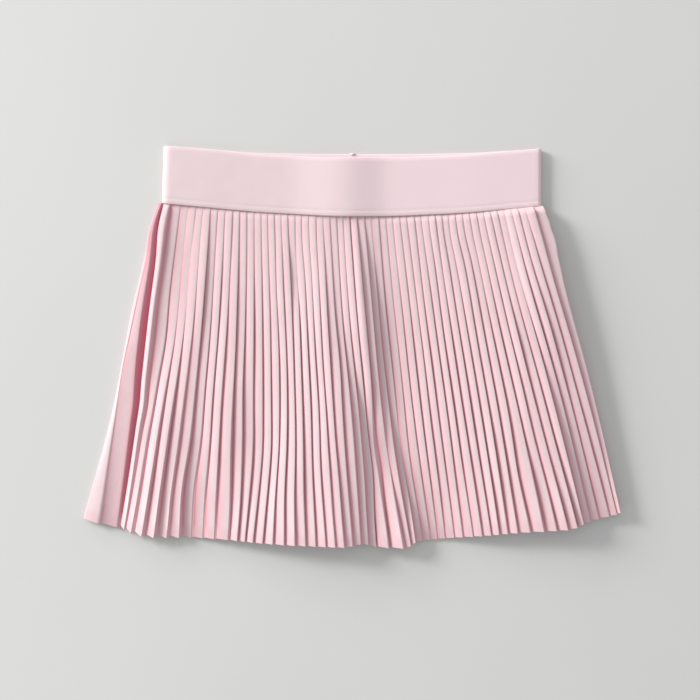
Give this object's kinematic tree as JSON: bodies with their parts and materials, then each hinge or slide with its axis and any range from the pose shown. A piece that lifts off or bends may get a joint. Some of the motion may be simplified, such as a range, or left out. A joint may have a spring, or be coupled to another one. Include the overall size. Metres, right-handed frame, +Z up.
{
  "type": "pleated athletic shorts, laid flat",
  "caption": "Pull-on athletic shorts laid flat: a wide smooth elastic waistband over two short flared legs of narrow knife pleats, front panels lying on back panels.",
  "frame": {"origin": "centre of the bounding box across X and Y, at the height of the surface that the shorts lie on", "axes": "+X across the waist towards the right side of the picture, +Y from the hem towards the waistband, +Z up off the surface, front of the garment up"},
  "size_m": [0.4925, 0.3696, 0.0098],
  "materials": {
    "pleated_cloth": "pale pink fine plain-weave polyester, heat-set pleats, soft matt sheen",
    "waistband_elastic": "slightly paler pink smooth woven elastic, fine ribs, matt"
  },
  "bodies": {
    "root": {"waistband": "waistband_elastic", "front_left_leg": "pleated_cloth", "front_right_leg": "pleated_cloth", "back_left_leg": "pleated_cloth", "back_right_leg": "pleated_cloth"}
  },
  "joints": []
}
